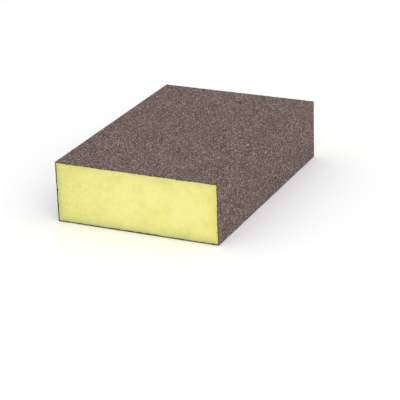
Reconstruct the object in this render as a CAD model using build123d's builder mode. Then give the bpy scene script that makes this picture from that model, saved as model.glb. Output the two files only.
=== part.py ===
from build123d import *
import os

# A four-sided sanding block: a firm foam core with coated abrasive on its four long faces.
#
# The block is cut from a long strip, so its two ends show bare foam and the cut edges of the
# coats. Each coated face has two layers: a thin resin make coat that bonds to the foam, and the
# grit coat, which is abrasive grains locked in size resin. The broad faces are coated first and
# the strip is then slit to width, so the coats of the narrow faces cover the broad coats' edges.
#
# Frame, in millimetres: the origin is the middle of the bottom face, +Z is up, +Y runs along the
# length, and the bare ends face -Y and +Y.

# Driving dimensions
inch = 25.4
block_length = 4 * inch
block_width = 2.75 * inch
block_height = 1 * inch
make_coat_thickness = 0.15
grit_coat_thickness = 0.35
long_edge_radius = 0.25  # the grit rounds the four long edges a little

# Worked out from them
coating_thickness = make_coat_thickness + grit_coat_thickness
foam_width = block_width - 2 * coating_thickness
foam_height = block_height - 2 * coating_thickness
mid_height = block_height / 2


def foam_core():
    """The firm foam block, bare at both ends."""
    with BuildPart() as core:
        with BuildSketch(Plane.XY.offset(coating_thickness)):
            Rectangle(foam_width, block_length)
        extrude(amount=foam_height)
    return core.part


def broad_coat(side, clearance, thickness):
    """A layer of the top (side 1) or the bottom (side -1), at a clearance from the foam."""
    with BuildPart() as coat:
        with BuildSketch(Plane.XY.offset(mid_height + side * (foam_height / 2 + clearance))):
            Rectangle(foam_width, block_length)
        extrude(amount=side * thickness)
    return coat.part


def narrow_coat(side, clearance, thickness, edge_radius=0):
    """A layer of the right (side 1) or the left (side -1), over the block's whole height."""
    with BuildPart() as coat:
        with BuildSketch(Plane.YZ.offset(side * (foam_width / 2 + clearance))):
            with Locations((0, mid_height)):
                Rectangle(block_length, block_height)
        extrude(amount=side * thickness)
        if edge_radius:
            outer_face = coat.faces().sort_by(Axis.X)[-1 if side > 0 else 0]
            fillet(outer_face.edges().filter_by(Axis.Y), radius=edge_radius)
    return coat.part


def save(part, name):
    """Labels a finished piece and writes its STEP file."""
    part.label = name
    export_step(part, f"parts/{name}.step")


os.makedirs("parts", exist_ok=True)
save(foam_core(), "foam_core")
for name, side in (("top", 1), ("bottom", -1)):
    save(broad_coat(side, 0, make_coat_thickness), f"{name}_make_coat")
    save(broad_coat(side, make_coat_thickness, grit_coat_thickness), f"{name}_grit_coat")
for name, side in (("right", 1), ("left", -1)):
    save(narrow_coat(side, 0, make_coat_thickness), f"{name}_make_coat")
    save(
        narrow_coat(side, make_coat_thickness, grit_coat_thickness, long_edge_radius),
        f"{name}_grit_coat",
    )
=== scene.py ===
import math

import bpy
import numpy as np
from mathutils import Matrix, Vector
from mathutils.geometry import delaunay_2d_cdt


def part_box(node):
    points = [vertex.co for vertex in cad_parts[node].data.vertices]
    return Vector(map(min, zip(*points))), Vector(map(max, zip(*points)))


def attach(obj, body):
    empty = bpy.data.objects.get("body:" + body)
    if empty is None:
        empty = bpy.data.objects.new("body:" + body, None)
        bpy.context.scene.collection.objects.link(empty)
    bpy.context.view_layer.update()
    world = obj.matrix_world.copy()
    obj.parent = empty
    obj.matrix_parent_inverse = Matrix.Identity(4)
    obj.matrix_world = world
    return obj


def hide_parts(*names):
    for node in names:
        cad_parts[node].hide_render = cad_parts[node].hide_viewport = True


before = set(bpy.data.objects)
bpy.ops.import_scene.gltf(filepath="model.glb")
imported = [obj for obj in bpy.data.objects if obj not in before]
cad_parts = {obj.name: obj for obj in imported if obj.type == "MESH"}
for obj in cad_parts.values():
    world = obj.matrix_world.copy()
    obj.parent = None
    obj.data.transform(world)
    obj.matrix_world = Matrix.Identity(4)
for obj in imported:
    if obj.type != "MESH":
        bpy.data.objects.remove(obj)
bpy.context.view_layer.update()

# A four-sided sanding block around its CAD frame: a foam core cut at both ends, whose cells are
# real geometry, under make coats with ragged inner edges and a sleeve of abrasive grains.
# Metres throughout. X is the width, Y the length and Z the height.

MM = 0.001
random = np.random.default_rng(60)

# ---------------------------------------------------------------- sizes, from the frame

FOAM_LOW, FOAM_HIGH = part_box("foam_core")
MAKE_LOW, MAKE_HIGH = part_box("top_make_coat")
GRIT_LOW, GRIT_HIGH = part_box("top_grit_coat")
HALF_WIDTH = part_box("right_grit_coat")[1].x
HALF_LENGTH = GRIT_HIGH.y
HEIGHT = GRIT_HIGH.z
MAKE_THICKNESS = MAKE_HIGH.z - MAKE_LOW.z
GRIT_THICKNESS = GRIT_HIGH.z - GRIT_LOW.z

# The outward direction of each of the four long faces, in the XZ plane
FACES = {"top": (0, 1), "right": (1, 0), "bottom": (0, -1), "left": (-1, 0)}

SAME_PLACE = 1e-7  # metres, less than the closest corners of the meshes are apart

# Grains
GRAIN_SPACING = 0.50 * MM
GRAIN_RELIEF = 0.24 * MM  # from the deepest resin valley to the highest grain
LOWEST_PEAK = 0.55  # of the relief
HIGHEST_VALLEY = 0.45  # of the relief
PEAK_STRAY = 0.12 * GRAIN_SPACING  # how far a grain's peak lies from its middle
LEAST_FACET = 0.3  # of its area under a centred peak: a peak that leaves less stays in the middle

# Facets, kept under 45 degrees.
STEEPEST = 0.87
EASED_SLOPE = 0.95 * STEEPEST
EASING_ROUNDS = 60  # at most

# The tone of a grain, from 0 dark to 1 pale, its spread among grains and among one grain's facets
TONE = 0.48
GRAIN_SPREAD = 0.157
FACET_SPREAD = 0.165
PAINTED_GLINT_SHARE = 0.012  # of the grains, painted paler as painted glints
PAINTED_GLINT_TONE = 0.48  # how much paler these are, as painted glints
CUT_TONE = 0.4  # of the coat's cut edges and back

# Foam cells
CELL_SPACING = 0.36 * MM
CELLS_KEPT = 0.8  # the rest leave room for larger cells
CELL_DEPTH = 0.08 * MM
SHALLOWEST_PIT = 0.3  # of the cell depth
DEEP_SHARE = 0.06  # of the cells
DEEP_EXTRA = 0.7  # of the cell depth
FOAM_ROUGHNESS = 0.008 * MM
FOAM_RECESS = 0.05 * MM  # the coats' cut edges stand this proud of the foam

# How far the make coat soaks into the foam at most, and the lengths of its coarse and fine waves
SOAK_DEPTH = 0.48 * MM
SOAK_COARSE = 1.6 * MM
SOAK_FINE = 0.35 * MM
SOAK_POWER = 2.5  # the higher, the rarer the deep soaks
SOAK_STEP = 0.15 * MM

# How strongly the foam darkens along each face, from the make coat's stain and from painted shade that
# makes it strongest at the bottom and left, and how far in it fades
STAIN_AND_SHADE = {"top": 0.52, "right": 0.40, "bottom": 0.92, "left": 0.78}
STAIN_AND_SHADE_REACH = 1.7 * MM
WARM = 0.7  # strength of the warm band inside the right face
WARM_REACH = 2.5 * MM  # how far in it fades


# ---------------------------------------------------------------- mesh tools

def scatter(width, length, spacing):
    """Evenly spread random points on a width by length rectangle, with no rows in them."""
    rows = max(1, round(length / (spacing * math.sqrt(0.75))))
    columns = max(1, round(width / spacing))
    row, column = np.meshgrid(np.arange(rows), np.arange(columns), indexing="ij")
    jitter = random.random((2, rows, columns))
    across = (column + jitter[0] + 0.5 * (row % 2)) % columns * width / columns
    along = (row + jitter[1]) * length / rows
    return np.column_stack([across.ravel(), along.ravel()])


def mirrored(points, axis, end, reach):
    """Copies of the points that lie within reach of a line, mirrored in that line."""
    near = points[np.abs(points[:, axis] - end) < reach].copy()
    near[:, axis] = 2 * end - near[:, axis]
    return near


def triangulate(points):
    """The points as the triangulation orders them, and its triangles, anticlockwise."""
    fill_the_hull, epsilon = 0, 1e-12
    made = delaunay_2d_cdt([Vector(p) for p in points.tolist()], [], [], fill_the_hull, epsilon)
    points = np.array([v[:] for v in made[0]])
    triangles = np.array(made[2])
    a, b, c = (points[triangles[:, i]] for i in range(3))
    clockwise = np.cross(b - a, c - a) < 0
    triangles[clockwise] = triangles[clockwise][:, ::-1]
    return points, triangles


def circumcentres(points, triangles):
    """The Voronoi corner of each triangle."""
    a, b, c = (points[triangles[:, i]] for i in range(3))
    b, c = b - a, c - a
    double_area = 2 * np.cross(b, c)
    b_squared, c_squared = (b * b).sum(1), (c * c).sum(1)
    x = (c[:, 1] * b_squared - b[:, 1] * c_squared) / double_area
    y = (b[:, 0] * c_squared - c[:, 0] * b_squared) / double_area
    return a + np.column_stack([x, y])


def relaxed(points, triangles):
    """Each point moved half way to the middle of its neighbours."""
    total, count = np.zeros_like(points), np.zeros(len(points))
    for i in range(3):
        for j in range(3):
            if i != j:
                np.add.at(total, triangles[:, i], points[triangles[:, j]])
                np.add.at(count, triangles[:, i], 1)
    return 0.5 * points + 0.5 * total / count[:, None]


def voronoi(width, length, spacing, wraps, kept=1.0):
    """Cells that fill a rectangle with straight sides: their sites, their corners, and fans of
    triangles (site, corner, corner). With wraps, the pattern joins up across the width. kept is
    the share of the evenly spread sites that is used: the fewer, the more the cells differ."""
    # The triangulation works in single precision, where whole numbers stay exact. So the width is
    # a whole number of units, and both sides of the join get the same corners.
    units = 2**22
    unit = width / units
    width, length, spacing = units, length / unit, spacing / unit
    reach = 4 * spacing
    margin = 0.02 * spacing
    grid = 1e-3 * spacing

    def padded(points):
        if wraps:
            shift = np.array([width, 0])
            near, far = points[:, 0] < reach, points[:, 0] > width - reach
            sides = [points[near] + shift, points[far] - shift]
        else:
            sides = [mirrored(points, 0, end, reach) for end in (0, width)]
        points = np.vstack([points, *sides])
        return np.vstack([points, *(mirrored(points, 1, end, reach) for end in (0, length))])

    def inside(points):
        return (points >= 0).all(1) & (points[:, 0] < width) & (points[:, 1] < length)

    sites = np.round(scatter(width, length, spacing))
    sites = sites[random.random(len(sites)) < kept]
    points, triangles = triangulate(padded(sites))
    points = relaxed(points, triangles)[inside(points)]
    points[:, 0] %= width
    points[:, 1] = points[:, 1].clip(margin, length - margin)
    points = np.round(points)
    points, triangles = triangulate(padded(points))
    corners = circumcentres(points, triangles)
    if wraps:
        corners[:, 0] %= width

    # Corners that fall together are merged. Then each edge that starts at a site, with a triangle
    # on either side of it, gives that site one fan triangle, between those two's corners.
    snapped = np.round(corners / grid).astype(np.int64)
    snapped, merged = np.unique(snapped, axis=0, return_inverse=True)
    corners, merged = snapped * grid, merged.ravel()
    start, end = triangles.ravel(), np.roll(triangles, -1, axis=1).ravel()
    beside = merged[np.repeat(np.arange(len(triangles)), 3)]
    key, twin = start * len(points) + end, end * len(points) + start
    order = np.argsort(key)
    found = order[np.searchsorted(key, twin, sorter=order).clip(0, len(key) - 1)]
    spoke = (key[found] == twin) & inside(points)[start] & (beside != beside[found])
    fans = np.column_stack([start[spoke], beside[found][spoke], beside[spoke]])

    used_sites, fans[:, 0] = np.unique(fans[:, 0], return_inverse=True)
    used_corners, both = np.unique(fans[:, 1:], return_inverse=True)
    fans[:, 1:] = both.reshape(-1, 2)
    return points[used_sites] * unit, corners[used_corners] * unit, fans


def sides_of(flat, triangles, around):
    """The two sides that leave each triangle's first corner. The points join up after around."""
    sides = flat[triangles[:, 1:]] - flat[triangles[:, :1]]
    sides[..., 0] = (sides[..., 0] + around / 2) % around - around / 2
    return sides[:, 0], sides[:, 1]


def eased(flat, height, triangles, around):
    """Heights over flat points with no facet steeper than STEEPEST: the corners of those that are
    too steep are drawn together until none is left. The points join up after around."""
    first, second = sides_of(flat, triangles, around)
    double_area = np.abs(np.cross(first, second))
    for _ in range(EASING_ROUNDS):
        at = height[triangles]
        climb = at[:, 1:] - at[:, :1]
        gradient = (climb[:, :1] * second - climb[:, 1:] * first) / double_area[:, None]
        slope = np.linalg.norm(gradient, axis=1)
        steep = slope > STEEPEST
        if not steep.any():
            break
        middle = at[steep].mean(1, keepdims=True)
        wanted = middle + (at[steep] - middle) * (EASED_SLOPE / slope[steep])[:, None]
        total, count = np.zeros_like(height), np.zeros(len(height))
        np.add.at(total, triangles[steep], wanted)
        np.add.at(count, triangles[steep], 1)
        height = np.where(count > 0, total / np.maximum(count, 1), height)
    return height


def rim(triangles):
    """The closed loop of vertices round a patch of triangles, in the patch's own direction."""
    start, end = triangles.ravel(), np.roll(triangles, -1, axis=1).ravel()
    inner = set(zip(end.tolist(), start.tolist()))
    following = {a: b for a, b in zip(start.tolist(), end.tolist()) if (a, b) not in inner}
    loop = [next(iter(following))]
    while following[loop[-1]] != loop[0]:
        loop.append(following[loop[-1]])
    return loop


def add_piece(name, points, polygons, nodes, material):
    """A mesh piece that rides on the block's only body and stands for CAD nodes."""
    mesh = bpy.data.meshes.new(name)
    mesh.from_pydata(points, [], polygons)
    mesh.validate()
    mesh.materials.append(material)
    piece = bpy.data.objects.new(name, mesh)
    bpy.context.scene.collection.objects.link(piece)
    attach(piece, "root")
    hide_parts(*nodes)
    return piece


def add_attribute(piece, name, domain, values):
    """Stores a number for each face or vertex, which the piece's material reads."""
    attribute = piece.data.attributes.new(name, "FLOAT", domain)
    attribute.data.foreach_set("value", np.asarray(values, np.float32))


# ---------------------------------------------------------------- materials

class Nodes:
    """A material's node tree, with short calls for what the materials here share. An input is a
    number, a colour (r, g, b) or another node's output."""

    def __init__(self, name):
        self.material = bpy.data.materials.new(name)
        self.material.use_nodes = True
        self.tree = self.material.node_tree
        self.shader = self.tree.nodes["Principled BSDF"]

    def feed(self, socket, value):
        """Links another node's output to a socket, or sets the socket to a number or a colour."""
        if isinstance(value, bpy.types.NodeSocket):
            self.tree.links.new(value, socket)
        elif isinstance(value, tuple):
            socket.default_value = (*value, 1)
        else:
            socket.default_value = value

    def add(self, kind, inputs, **settings):
        """A node with its settings and inputs."""
        node = self.tree.nodes.new(kind)
        for key, value in settings.items():
            setattr(node, key, value)
        for key, value in inputs.items():
            self.feed(node.inputs[key], value)
        return node

    def place(self):
        return self.add("ShaderNodeTexCoord", {}).outputs["Object"]

    def attribute(self, name):
        return self.add("ShaderNodeAttribute", {}, attribute_name=name).outputs["Fac"]

    def noise(self, size, detail=2.0):
        """Noise from 0 to 1 whose blotches are about size across."""
        inputs = {"Vector": self.place(), "Scale": 1 / size, "Detail": detail}
        return self.add("ShaderNodeTexNoise", inputs).outputs["Fac"]

    def math(self, operation, a, b):
        return self.add("ShaderNodeMath", {0: a, 1: b}, operation=operation).outputs[0]

    def span(self, value, low, high, to_low, to_high):
        """value from low to high, mapped to the other two and held there outside them."""
        inputs = {"Value": value, "From Min": low, "From Max": high, "To Min": to_low, "To Max": to_high}
        return self.add("ShaderNodeMapRange", inputs).outputs["Result"]

    def ramp(self, value, stops):
        """A colour ramp through stops of (position, (r, g, b))."""
        node = self.add("ShaderNodeValToRGB", {"Fac": value})
        elements = node.color_ramp.elements
        while len(elements) < len(stops):
            elements.new(0.5)
        for element, (position, colour) in zip(elements, stops):
            element.position = position
            element.color = (*colour, 1)
        return node.outputs["Color"]

    def mix(self, share, a, b, blend="MIX"):
        """Colour a, with a share of colour b."""
        fac, colour_a, colour_b = 0, 6, 7
        settings = {"data_type": "RGBA", "blend_type": blend}
        node = self.add("ShaderNodeMix", {fac: share, colour_a: a, colour_b: b}, **settings)
        return node.outputs[2]

    def finish(self, colour, roughness, specular):
        self.feed(self.shader.inputs["Base Color"], colour)
        self.feed(self.shader.inputs["Roughness"], roughness)
        self.feed(self.shader.inputs["Specular IOR Level"], specular)
        return self.material


FOAM_TONES = [
    (0.35, (0.695, 0.665, 0.224)),
    (0.5, (0.75, 0.713, 0.255)),
    (0.65, (0.78, 0.736, 0.281)),
]
# Painted shade of the foam's left side, away from the key light
FOAM_SHADED_LEFT = (0.567, 0.567, 0.171)
FOAM_FLECK = (0.57, 0.53, 0.150)
# Painted shade in the foam's cell pits
FOAM_PIT_SHADE = (0.54, 0.49, 0.125)
FOAM_WARM = (0.75, 0.635, 0.115)
# Resin stain and painted shade along the coats
FOAM_STAIN_AND_SHADE = (0.40, 0.42, 0.17)
RESIN_DARK = (0.030, 0.024, 0.008)
RESIN_LIGHT = (0.145, 0.123, 0.035)
RESIN_STREAK = 0.8 * MM
GRAIN_TONES = [
    (0.0, (0.014, 0.007, 0.005)),
    (0.25, (0.062, 0.038, 0.033)),
    (0.5, (0.133, 0.087, 0.078)),
    (0.75, (0.240, 0.172, 0.157)),
    # The palest stop is raised for the painted glints, and pale grains share it.
    (1.0, (0.500, 0.405, 0.382)),
]
GRAIN_VALLEY = (0.075, 0.056, 0.050)


def foam_material():
    """Pale yellow foam: soft blotches, painted shade in the pits and on the left side, and a resin stain
    along the coats with painted shade, strongest at the bottom and left.
    """
    n = Nodes("foam")
    large_blotches = n.math("MULTIPLY", n.noise(7 * MM, 3), 0.6)
    small_blotches = n.math("MULTIPLY", n.noise(2 * MM, 3), 0.4)
    colour = n.ramp(n.math("ADD", large_blotches, small_blotches), FOAM_TONES)

    across = n.add("ShaderNodeSeparateXYZ", {0: n.place()}).outputs["X"]
    # Painted shade: darker and more olive towards the left side, away from the key light, fading a third
    # of the way across.
    left_shade_share = n.span(across, -HALF_WIDTH, -0.3 * HALF_WIDTH, 1.0, 0.0)
    colour = n.mix(n.math("MULTIPLY", left_shade_share, 0.24), colour, FOAM_SHADED_LEFT)
    # Darker flecks, only on the left, where the painted shade lies.
    flecks = n.span(n.noise(1.2 * MM, 3), 0.48, 0.62, 0.0, 0.5)
    colour = n.mix(n.math("MULTIPLY", left_shade_share, flecks), colour, FOAM_FLECK)
    # Painted shade in the cell pits: the deeper a pit, the darker, and more so on the shaded left.
    pit_shade_strength = n.span(left_shade_share, 0.0, 1.0, 0.18, 0.5)
    colour = n.mix(n.math("MULTIPLY", n.attribute("pit"), pit_shade_strength), colour, FOAM_PIT_SHADE)

    colour = n.mix(n.attribute("warm"), colour, FOAM_WARM)
    unevenness = n.span(n.noise(3 * MM, 4), 0.3, 0.7, 0.7, 1.25)
    # A resin stain along the coats, with painted shade that makes it strongest along the bottom and
    # left.
    colour = n.mix(n.math("MULTIPLY", n.attribute("edge"), unevenness), colour, FOAM_STAIN_AND_SHADE)
    return n.finish(colour, roughness=0.95, specular=0.2)


def resin_material():
    """The make coat: dark olive-brown resin with paler streaks."""
    n = Nodes("make_coat_resin")
    colour = n.ramp(n.noise(RESIN_STREAK), [(0.35, RESIN_DARK), (0.65, RESIN_LIGHT)])
    roughness = n.span(n.noise(0.4 * MM), 0.3, 0.7, 0.5, 0.8)
    return n.finish(colour, roughness, specular=0.4)


def grit_material():
    """Brown grains in size resin: each grain has its own tone, and a few are painted paler as painted
    glints.
    The resin is darker in the valleys and shows bare at the cut edges."""
    n = Nodes("abrasive_grit")
    tone = n.attribute("tone")
    grain = n.ramp(tone, GRAIN_TONES)
    patch = n.span(n.noise(14 * MM, 3), 0.3, 0.7, 0.94, 1.06)
    shade = n.add("ShaderNodeCombineColor", {"Red": patch, "Green": patch, "Blue": patch}).outputs[0]
    grain = n.mix(1.0, grain, shade, "MULTIPLY")
    valley = n.span(n.attribute("rise"), 0.0, 0.6, 1.0, 0.0)
    colour = n.mix(n.math("MULTIPLY", valley, 0.35), grain, GRAIN_VALLEY)
    cut_edge = n.ramp(n.noise(RESIN_STREAK), [(0.4, RESIN_DARK), (0.65, RESIN_LIGHT)])
    colour = n.mix(n.attribute("cut"), colour, cut_edge)
    roughness = n.span(tone, 0.0, 1.0, 0.75, 0.45)
    return n.finish(colour, roughness, specular=0.25)


# ---------------------------------------------------------------- grit coats

class Sleeve:
    """The outer surface unrolled: distance runs round the section, from the middle of the bottom
    face towards +X. The long edges are rounded by the grit coat's own thickness."""

    radius = GRIT_THICKNESS
    half_broad = HALF_WIDTH - radius
    narrow = HEIGHT - 2 * radius
    flats = [half_broad, narrow, 2 * half_broad, narrow, half_broad]
    arc = radius * math.pi / 2
    around = sum(flats) + 4 * arc
    middles = {"bottom": 0.0, "right": around / 4, "top": around / 2, "left": 3 * around / 4}

    @classmethod
    def point(cls, distance):
        """(x, z) on the outer surface and the outward direction there, for an array of distances."""
        rest = distance % cls.around
        x, z = np.zeros_like(rest), np.zeros_like(rest)
        heading = np.zeros_like(rest)
        at, angle = np.array([0.0, 0.0]), 0.0
        left = rest.copy()
        pending = np.ones(len(rest), bool)
        for i, flat in enumerate(cls.flats):
            ahead = np.array([math.cos(angle), math.sin(angle)])
            on_flat = pending & (left <= flat)
            x[on_flat] = at[0] + ahead[0] * left[on_flat]
            z[on_flat] = at[1] + ahead[1] * left[on_flat]
            heading[on_flat] = angle
            pending &= ~on_flat
            left -= flat
            at = at + ahead * flat
            if i == len(cls.flats) - 1:
                break
            on_arc = pending & (left <= cls.arc)
            turned = angle + left / cls.radius
            centre = at + cls.radius * np.array([-ahead[1], ahead[0]])
            x[on_arc] = centre[0] + cls.radius * np.sin(turned[on_arc])
            z[on_arc] = centre[1] - cls.radius * np.cos(turned[on_arc])
            heading[on_arc] = turned[on_arc]
            pending &= ~on_arc
            left -= cls.arc
            angle += math.pi / 2
            at = centre + cls.radius * np.array([math.sin(angle), -math.cos(angle)])
        outward = np.column_stack([np.sin(heading), -np.cos(heading)])
        return np.column_stack([x, z]), outward


def grit_coats(material):
    """Four pieces of one sleeve of grains, split between grains just inside each long edge."""
    sites, corners, fans = voronoi(Sleeve.around, 2 * HALF_LENGTH, GRAIN_SPACING, wraps=True)

    # A grain rises from its Voronoi corners, low in the resin, to a peak beside its site.
    peak_rise = random.uniform(LOWEST_PEAK, 1.0, len(sites))
    peaks = sites + random.normal(0, PEAK_STRAY, sites.shape)
    valley_rise = random.uniform(0.0, HIGHEST_VALLEY, len(corners))
    triangles = fans[:, [0, 2, 1]] + np.array([0, len(sites), len(sites)])

    def facet_areas(tops):
        return np.cross(*sides_of(np.vstack([tops, corners]), triangles, Sleeve.around))

    cramped = fans[facet_areas(peaks) / facet_areas(sites) < LEAST_FACET, 0]
    peaks[cramped] = sites[cramped]
    flat = np.vstack([peaks, corners])
    height = GRAIN_RELIEF * np.concatenate([peak_rise, valley_rise])
    height = eased(flat, height, triangles, Sleeve.around)
    section, outward = Sleeve.point(flat[:, 0])
    section = section + outward * (height - GRAIN_RELIEF)[:, None]
    points = np.column_stack([section[:, 0], flat[:, 1] - HALF_LENGTH, section[:, 1]])

    grain_tone = random.normal(TONE, GRAIN_SPREAD, len(sites))
    # A few grains painted paler, as painted glints.
    grain_tone += PAINTED_GLINT_TONE * (random.random(len(sites)) < PAINTED_GLINT_SHARE)
    tone = (grain_tone[fans[:, 0]] + random.normal(0, FACET_SPREAD, len(fans))).clip(0, 1)
    rise = height / GRAIN_RELIEF

    # Sites are sorted into pieces by the face that they lie on, edges going to the sides.
    site_x, site_z = Sleeve.point(sites[:, 0])[0].T
    broad = np.abs(site_x) < HALF_WIDTH - GRIT_THICKNESS - 0.5 * MAKE_THICKNESS
    side_of = {
        "top": broad & (site_z > HEIGHT / 2),
        "bottom": broad & (site_z < HEIGHT / 2),
        "right": ~broad & (site_x > 0),
        "left": ~broad & (site_x < 0),
    }
    for name, mine in side_of.items():
        patch = mine[triangles[:, 0]]
        add_grit_coat(name, points, flat[:, 0], triangles[patch], tone[patch], rise, material)


def add_grit_coat(name, points, distance, triangles, tone, rise, material):
    """Closes a patch of the sleeve with its cut edges and a flat back on the make coat. distance is
    how far round the sleeve each point is."""
    used, triangles = np.unique(triangles, return_inverse=True)
    triangles = triangles.reshape(-1, 3)
    points, distance, rise = points[used], distance[used], rise[used]
    loop = rim(triangles)
    along = points[loop, 1]
    at_end = np.abs(along) > HALF_LENGTH - SAME_PLACE

    # Each point of the rim goes straight across to the back's long edge, or in step along its ends.
    out = np.array(FACES[name])
    ahead = np.array([-out[1], out[0]])
    half_back = np.array([HALF_WIDTH, HEIGHT / 2]) - GRIT_THICKNESS
    reach, half_span = np.abs(out) @ half_back, np.abs(ahead) @ half_back
    half_around = Sleeve.around / 2
    past = (distance[loop] - Sleeve.middles[name] + half_around) % Sleeve.around - half_around
    across = np.sign(past) * half_span
    for end in (at_end & (along < 0), at_end & (along > 0)):
        rim_ends = (past[end].min(), past[end].max())
        across[end] = np.interp(past[end], rim_ends, (-half_span, half_span))
    section = np.array([0, HEIGHT / 2]) + reach * out + np.outer(across, ahead)
    back = np.column_stack([section[:, 0], along, section[:, 1]])

    first = len(points)
    steps = len(loop)
    pairs = [(i, (i + 1) % steps) for i in range(steps)]
    walls = [[loop[j], loop[i], first + i, first + j] for i, j in pairs]
    is_cut = [float(at_end[i] and at_end[j]) for i, j in pairs]
    back_face = [first + i for i in reversed(range(steps))]
    polygons = triangles.tolist() + walls + [back_face]
    piece = add_piece(
        f"{name}_grit",
        np.vstack([points, back]),
        polygons,
        [f"{name}_grit_coat"],
        material,
    )
    add_attribute(piece, "tone", "FACE", np.concatenate([tone, np.full(steps + 1, CUT_TONE)]))
    add_attribute(piece, "cut", "FACE", np.concatenate([np.zeros(len(triangles)), is_cut, [0.0]]))
    add_attribute(piece, "rise", "POINT", np.concatenate([rise, np.zeros(steps)]))


# ---------------------------------------------------------------- foam core

def foam_end(side):
    """The cut cells of one end (side -1 front, 1 back): points, triangles, and how deep in a cell
    each point is, as a share of the cell depth."""
    width, height = FOAM_HIGH.x - FOAM_LOW.x, FOAM_HIGH.z - FOAM_LOW.z
    sites, corners, fans = voronoi(width, height, CELL_SPACING, wraps=False, kept=CELLS_KEPT)
    pit = random.uniform(SHALLOWEST_PIT, 1.0, len(sites))
    pit += DEEP_EXTRA * (random.random(len(sites)) < DEEP_SHARE)
    pit = np.concatenate([pit, np.zeros(len(corners))])
    depth = FOAM_RECESS + pit * CELL_DEPTH + np.abs(random.normal(0, FOAM_ROUGHNESS, len(pit)))
    flat = np.vstack([sites, corners])
    triangles = fans + np.array([0, len(sites), len(sites)])
    never = 10 * width  # the two sides of this pattern don't join up
    depth = eased(flat, depth, triangles, never)
    x, z = FOAM_LOW.x + flat[:, 0], FOAM_LOW.z + flat[:, 1]
    points = np.column_stack([x, side * (HALF_LENGTH - depth), z])
    return points, triangles if side < 0 else triangles[:, ::-1], pit


def foam_core(material):
    """Both cut ends, joined by four flat sides under the coats."""
    front_points, front_triangles, front_pit = foam_end(-1)
    back_points, back_triangles, back_pit = foam_end(1)
    back_triangles = back_triangles + len(front_points)
    points = np.vstack([front_points, back_points])
    front_loop, back_loop = rim(front_triangles), rim(back_triangles)

    def along(loop, axis, value):
        """The part of a loop on one side of the section, in order."""
        def on_side(vertex):
            return abs(points[vertex][axis] - value) < SAME_PLACE

        start = next(i for i in range(len(loop)) if on_side(loop[i]) and not on_side(loop[i - 1]))
        return [vertex for vertex in loop[start:] + loop[:start] if on_side(vertex)]

    x_axis, z_axis = 0, 2
    sides = [
        (x_axis, FOAM_LOW.x),
        (x_axis, FOAM_HIGH.x),
        (z_axis, FOAM_LOW.z),
        (z_axis, FOAM_HIGH.z),
    ]
    walls = [(along(front_loop, *side) + along(back_loop, *side))[::-1] for side in sides]
    polygons = front_triangles.tolist() + back_triangles.tolist() + walls
    piece = add_piece("foam_block", points, polygons, ["foam_core"], material)
    inside = {
        "top": FOAM_HIGH.z - points[:, 2],
        "right": FOAM_HIGH.x - points[:, 0],
        "bottom": points[:, 2] - FOAM_LOW.z,
        "left": points[:, 0] - FOAM_LOW.x,
    }
    # The resin stain along each face, with painted shade that makes it strongest along the bottom and
    # left.
    edge = np.max([STAIN_AND_SHADE[name] * np.exp(-inside[name] / STAIN_AND_SHADE_REACH) for name in FACES], axis=0)
    add_attribute(piece, "edge", "POINT", edge)
    add_attribute(piece, "warm", "POINT", WARM * np.exp(-inside["right"] / WARM_REACH))
    # The foam material darkens the pits by this, as painted shade.
    add_attribute(piece, "pit", "POINT", np.concatenate([front_pit, back_pit]))


# ---------------------------------------------------------------- make coats

def soaked(count):
    """How deep the resin soaks at each step along its edge, from coarse and fine random waves."""
    def wave(length):
        knots = random.random(int(count * SOAK_STEP / length) + 3)
        return np.interp(np.arange(count) * SOAK_STEP / length, np.arange(len(knots)), knots)

    return SOAK_DEPTH * (0.5 * wave(SOAK_COARSE) + 0.5 * wave(SOAK_FINE)) ** SOAK_POWER


def make_coat(name, outward, half_span, reach, material):
    """A resin bed whose inner side soaks unevenly into the foam. outward is the face's direction in
    the XZ plane, half_span half its width, and reach its outer side's distance from the middle."""
    count = round(2 * half_span / SOAK_STEP) + 1
    across = np.linspace(-half_span, half_span, count)
    out = np.array(outward)
    sideways = np.array([out[1], -out[0]])
    # Near a corner of the foam the soak stays short of the diagonal, clear of the next coat's soak.
    foam_half_span = np.abs(sideways) @ np.array([FOAM_HIGH.x, FOAM_HIGH.z - HEIGHT / 2])
    room = (foam_half_span - np.abs(across)).clip(0)
    along_face = np.array([0, HEIGHT / 2]) + np.outer(across, sideways)
    rows = []
    for end in (-1, 1):
        soak = MAKE_THICKNESS + np.minimum(soaked(count), room)
        for depth in (np.zeros(count), soak):
            x, z = (along_face + np.outer(reach - depth, out)).T
            rows.append(np.column_stack([x, np.full(count, end * HALF_LENGTH), z]))
    points = np.vstack(rows)

    # The rows start at these vertices. Four bands and two caps join them.
    front_out, front_in, back_out, back_in = (row * count for row in range(4))
    round_the_section = [
        (front_in, front_out),
        (front_out, back_out),
        (back_out, back_in),
        (back_in, front_in),
    ]
    polygons = []
    for a, b in round_the_section:
        polygons += [[a + i, a + i + 1, b + i + 1, b + i] for i in range(count - 1)]
    polygons.append([back_out, back_in, front_in, front_out])
    polygons.append([start + count - 1 for start in (front_out, front_in, back_in, back_out)])
    add_piece(f"{name}_resin", points, polygons, [f"{name}_make_coat"], material)


def make_coats(material):
    """Top and bottom beds, and the side beds between them."""
    across, up = HALF_WIDTH - GRIT_THICKNESS, HEIGHT / 2 - GRIT_THICKNESS
    for name, outward in FACES.items():
        if name in ("top", "bottom"):
            make_coat(name, outward, across, up, material)
        else:
            make_coat(name, outward, up - MAKE_THICKNESS, across, material)


# ---------------------------------------------------------------- stage

FLOOR_HALF = 4.0
FLOOR_TONES = [(0.3, (0.945, 0.945, 0.945)), (0.7, (0.955, 0.955, 0.955))]
ROOM_STRENGTH = 0.94
KEY_PLACE = (0.95, -1.4, 1.0)
KEY_SIZE = 1.4
KEY_POWER = 14
CAMERA_ANGLES = (25.1, 22.2, -1.86)  # azimuth, elevation and roll, in degrees
CAMERA_TARGET = Vector((0.0036, 0, -0.005))
CAMERA_DISTANCE = 0.695
LENS = 151  # millimetres, on a sensor 36 wide
SENSOR = 36


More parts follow.
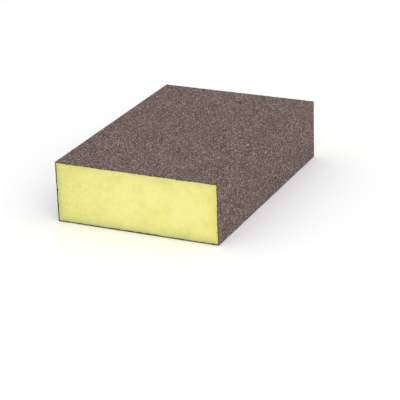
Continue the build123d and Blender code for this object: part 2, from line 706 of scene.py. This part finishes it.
def add_floor():
    """A plain pale floor, wide enough to fill every view."""
    a = FLOOR_HALF
    mesh = bpy.data.meshes.new("floor")
    mesh.from_pydata([(-a, -a, 0), (a, -a, 0), (a, a, 0), (-a, a, 0)], [], [(0, 1, 2, 3)])
    n = Nodes("floor")
    mesh.materials.append(n.finish(n.ramp(n.noise(0.4), FLOOR_TONES), roughness=0.9, specular=0.1))
    floor = bpy.data.objects.new("floor", mesh)
    bpy.context.scene.collection.objects.link(floor)


def add_area_light(name, position, size, power):
    """A square softbox that faces the block."""
    data = bpy.data.lights.new(name, "AREA")
    data.size, data.energy = size, power
    light = bpy.data.objects.new(name, data)
    light.location = position
    towards_block = Vector((0, 0, HEIGHT / 2)) - light.location
    light.rotation_euler = towards_block.to_track_quat("-Z", "Y").to_euler()
    bpy.context.scene.collection.objects.link(light)


def add_lights():
    """A white room all round, and one large softbox in front, to the right."""
    world = bpy.data.worlds.new("studio")
    bpy.context.scene.world = world
    world.use_nodes = True
    background = world.node_tree.nodes["Background"]
    background.inputs["Color"].default_value = (1, 1, 1, 1)
    background.inputs["Strength"].default_value = ROOM_STRENGTH
    add_area_light("key", KEY_PLACE, KEY_SIZE, KEY_POWER)


def add_camera():
    """A long lens that looks down on the front end from a little to the right."""
    azimuth, elevation, roll = (math.radians(angle) for angle in CAMERA_ANGLES)
    outward = math.cos(elevation)
    back = Vector((math.sin(azimuth) * outward, -math.cos(azimuth) * outward, math.sin(elevation)))
    level = Vector((0, 0, 1)).cross(back).normalized()
    upright = back.cross(level)
    right = level * math.cos(roll) + upright * math.sin(roll)
    up = upright * math.cos(roll) - level * math.sin(roll)
    data = bpy.data.cameras.new("camera")
    data.sensor_width = SENSOR
    data.lens = LENS
    camera = bpy.data.objects.new("camera", data)
    turn = Matrix((right, up, back)).transposed().to_4x4()
    camera.matrix_world = Matrix.Translation(CAMERA_TARGET + back * CAMERA_DISTANCE) @ turn
    bpy.context.scene.collection.objects.link(camera)
    bpy.context.scene.camera = camera


add_camera()
add_lights()
add_floor()
foam_core(foam_material())
make_coats(resin_material())
grit_coats(grit_material())
bpy.context.scene.view_settings.view_transform = "Standard"
